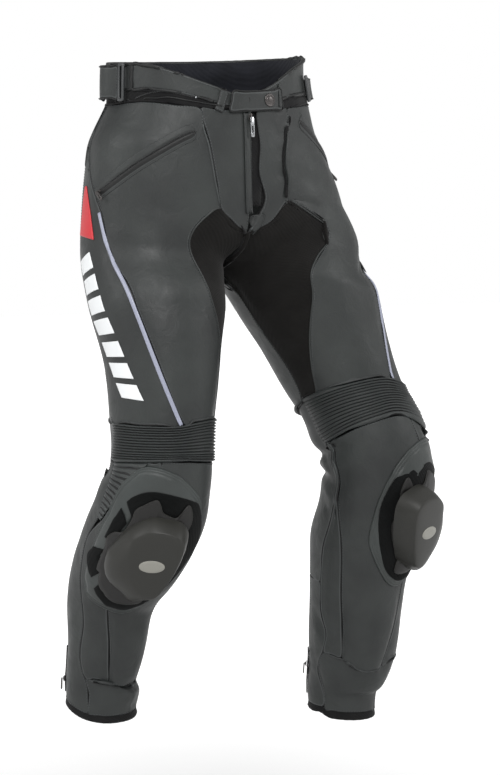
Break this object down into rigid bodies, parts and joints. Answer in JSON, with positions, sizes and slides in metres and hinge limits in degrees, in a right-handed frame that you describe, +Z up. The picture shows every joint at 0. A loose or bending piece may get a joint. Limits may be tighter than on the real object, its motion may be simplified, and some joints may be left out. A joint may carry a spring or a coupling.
{
  "type": "leather motorcycle trousers",
  "caption": "Leather motorcycle trousers in worn form: pleated stretch bands above the knees, knee sliders, shin guards, slanted zip pockets and a zip fly under a snap tab.",
  "frame": {"origin": "middle of the waist opening, where the wearer's waist holds the trousers, level with the side of the waistband", "axes": "+Z up along the standing wearer, the front faces -Y, the wearer's right leg is on -X"},
  "size_m": [0.5597, 0.4051, 1.0244],
  "materials": {
    "leather": "matt black cowhide",
    "stretch_fabric": "woven stretch cloth",
    "lining_fabric": "mesh lining",
    "elastic_webbing": "elastic webbing",
    "loop_fabric": "brushed loop cloth",
    "slider_plastic": "moulded, satin",
    "buckle_plastic": "moulded, satin",
    "zip_tape": "woven tape",
    "gunmetal": "dark plated",
    "bright_metal": "polished",
    "reflective_tape": "retroreflective coating"
  },
  "bodies": {
    "trousers": {"adjuster_strap_left": "leather", "adjuster_strap_right": "leather", "belt_loop": "leather", "closure_tab": "leather", "waistband_back": "leather", "waistband_left": "leather", "waistband_right": "leather", "calf_back_left": "leather", "calf_back_right": "leather", "calf_left": "leather", "calf_right": "leather", "cuff_front_left": "leather", "cuff_front_right": "leather", "fly_panel_left": "leather", "fly_panel_right": "leather", "knee_and_guard_left": "leather", "knee_and_guard_right": "leather", "knee_back_left": "leather", "knee_back_right": "leather", "knee_cup_left": "leather", "knee_cup_right": "leather", "knee_pleats_left": "leather", "knee_pleats_right": "leather", "pleat_tail_left": "leather", "pleat_tail_right": "leather", "pocket_zip_left": "leather", "pocket_zip_right": "leather", "seat_and_thigh_back_left": "leather", "seat_and_thigh_back_right": "leather", "shin_outer_left": "leather", "shin_outer_right": "leather", "shin_strip_left": "leather", "shin_strip_right": "leather", "side_panel_left": "leather", "side_panel_right": "leather", "thigh_front_left": "leather", "thigh_front_right": "leather", "inner_stretch_left": "stretch_fabric", "inner_stretch_right": "stretch_fabric", "waist_lining": "lining_fabric", "hem_binding_left": "elastic_webbing", "hem_binding_right": "elastic_webbing", "waist_strip": "elastic_webbing", "loop_field_left": "loop_fabric", "loop_field_right": "loop_fabric", "knee_slider_left": "slider_plastic", "knee_slider_right": "slider_plastic", "adjuster_ring_left": "buckle_plastic", "adjuster_ring_right": "buckle_plastic", "ankle_zip_left": "zip_tape", "ankle_zip_right": "zip_tape", "fly_zip": "zip_tape", "snap_button": "gunmetal", "reflective_piping_left": "reflective_tape", "reflective_piping_right": "reflective_tape"},
    "ankle_pull_left": {"ankle_pull_left": "gunmetal"},
    "ankle_pull_right": {"ankle_pull_right": "gunmetal"},
    "fly_pull": {"fly_pull": "bright_metal"},
    "pocket_pull_left": {"pocket_pull_left": "gunmetal"},
    "pocket_pull_right": {"pocket_pull_right": "gunmetal"}
  },
  "joints": [
    {"name": "ankle_pull_left_hinge", "type": "hinge", "parent": "trousers", "child": "ankle_pull_left", "pos_m": [0.16004, -0.04177, -0.89875], "axis": [0.5619, 0.7506, 0.3477], "range_deg": [0, 120]},
    {"name": "ankle_pull_right_hinge", "type": "hinge", "parent": "trousers", "child": "ankle_pull_right", "pos_m": [-0.19256, 0.10494, -0.90721], "axis": [0.6465, 0.762, 0.0379], "range_deg": [0, 120]},
    {"name": "fly_pull_hinge", "type": "hinge", "parent": "trousers", "child": "fly_pull", "pos_m": [0.00094, -0.12686, -0.05464], "axis": [-1, -0.0027, -0.0009], "range_deg": [0, 120]},
    {"name": "pocket_pull_left_hinge", "type": "hinge", "parent": "trousers", "child": "pocket_pull_left", "pos_m": [0.21175, -0.03794, -0.13447], "axis": [-0.432, -0.5989, 0.6743], "range_deg": [0, 120]},
    {"name": "pocket_pull_right_hinge", "type": "hinge", "parent": "trousers", "child": "pocket_pull_right", "pos_m": [-0.20046, -0.01359, -0.1649], "axis": [-0.1446, 0.6155, -0.7748], "range_deg": [0, 120]}
  ]
}
